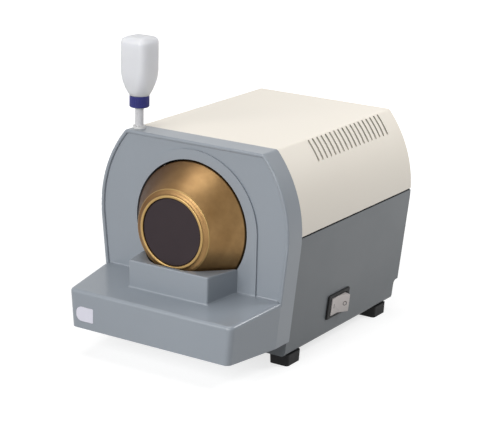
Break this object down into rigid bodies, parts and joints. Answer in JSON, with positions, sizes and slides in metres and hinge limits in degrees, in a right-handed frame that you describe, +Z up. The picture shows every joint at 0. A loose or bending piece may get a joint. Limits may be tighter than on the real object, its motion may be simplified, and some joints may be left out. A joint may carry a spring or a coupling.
{
  "type": "optical lens edger",
  "caption": "Bench-top lens edger: drip-fed bronze cone wheel over a trough and tray, slotted cover, rocker switch and inverted water bottle.",
  "frame": {"origin": "centre of the base of the bounding box, on the surface that the feet stand on", "axes": "+X to the right as seen from the front, +Y to the rear, +Z up"},
  "size_m": [0.25, 0.358, 0.3475],
  "materials": {
    "front_moulding": "glossy blue-grey moulded ABS",
    "body_paint": "satin dark grey enamel on sheet steel",
    "cover_paint": "satin ivory enamel on sheet steel",
    "gasket_rubber": "black foam rubber strip",
    "foot_rubber": "black moulded rubber",
    "zinc_sheet": "zinc-plated sheet steel",
    "panel_paint": "satin dark grey enamel",
    "screw_steel": "zinc-plated screws",
    "guard_plastic": "black moulded polypropylene",
    "bronze_bond": "machined bronze bond with diamond grit",
    "core_aluminium": "turned aluminium",
    "disc_plastic": "dark purple-brown moulded disc",
    "machined_steel": "turned steel",
    "seal_rubber": "black nitrile rubber",
    "lamination_steel": "stacked electrical steel",
    "copper_wire": "enamelled copper winding",
    "motor_paint": "dark grey enamel on the motor",
    "bell_alloy": "die-cast aluminium",
    "black_plastic": "black moulded polyamide",
    "white_plastic": "white moulded plastic",
    "capacitor_shell": "pale grey plastic can",
    "contact_brass": "nickel-plated brass blades",
    "rocker_plastic": "white glossy rocker",
    "frosted_plastic": "translucent natural polyethylene",
    "blue_cap": "blue moulded polypropylene",
    "hose_silicone": "pale silicone hose"
  },
  "bodies": {
    "housing": {"front_housing": "front_moulding", "tray_plate": "zinc_sheet", "tray_screws": "screw_steel", "drain_nipple": "black_plastic", "lower_body": "body_paint", "upper_cover": "cover_paint", "joint_gasket": "gasket_rubber", "rear_panel": "panel_paint", "panel_screws": "screw_steel", "housing_screws": "screw_steel", "base_plate": "zinc_sheet", "rubber_feet": "foot_rubber", "foot_screws": "screw_steel", "foot_nuts": "screw_steel", "bulkhead": "zinc_sheet", "splash_guard": "guard_plastic", "guard_screws": "screw_steel", "stator_core": "lamination_steel", "windings": "copper_wire", "motor_can": "motor_paint", "front_bell": "bell_alloy", "rear_bell": "bell_alloy", "front_bearing": "machined_steel", "rear_bearing": "machined_steel", "motor_screws": "screw_steel", "fan_cowl": "motor_paint", "motor_cradle": "bell_alloy", "chassis_screws": "screw_steel", "run_capacitor": "capacitor_shell", "capacitor_clip": "zinc_sheet", "terminal_block": "white_plastic", "mains_inlet": "black_plastic", "inlet_pins": "contact_brass", "inlet_screws": "screw_steel", "switch_frame": "black_plastic", "switch_pivot": "machined_steel", "bottle_socket": "white_plastic", "drip_hose": "hose_silicone", "drip_nozzle": "white_plastic"},
    "spindle": {"motor_shaft": "machined_steel", "grinding_ring": "bronze_bond", "wheel_core": "core_aluminium", "wheel_cap": "disc_plastic", "clamp_washer": "machined_steel", "wheel_nut": "machined_steel", "drive_flange": "machined_steel", "shaft_seal": "seal_rubber", "rotor_core": "lamination_steel", "cooling_fan": "black_plastic"},
    "rocker": {"switch_rocker": "rocker_plastic"},
    "bottle_stand": {"bottle_cap": "blue_cap", "bottle_stem": "frosted_plastic"},
    "bottle_liner": {"bottle_seal": "seal_rubber"},
    "bottle": {"water_bottle": "frosted_plastic"}
  },
  "joints": [
    {"name": "spindle_spin", "type": "hinge", "parent": "housing", "child": "spindle", "pos_m": [-0.0012, -0.099, 0.1502], "axis": [0, 1, 0], "continuous": true},
    {"name": "rocker_tilt", "type": "hinge", "parent": "housing", "child": "rocker", "pos_m": [0.10804, 0.0302, 0.04803], "axis": [0.1045, 0, 0.9945], "range_deg": [0, 26]},
    {"name": "bottle_lift", "type": "slide", "parent": "housing", "child": "bottle_stand", "axis": [0, 0, 1], "range_m": [0, 0.04]},
    {"name": "bottle_turn", "type": "hinge", "parent": "bottle_stand", "child": "bottle_liner", "pos_m": [-0.0827, -0.084, 0.272], "axis": [0, 0, 1], "range_deg": [0, 1080]},
    {"name": "bottle_rise", "type": "slide", "parent": "bottle_liner", "child": "bottle", "axis": [0, 0, 1], "range_m": [0, 0.0091]}
  ],
  "couplings": [
    {"joint": "bottle_rise", "follows": "bottle_turn", "m_per_rad": 0.00047746}
  ]
}
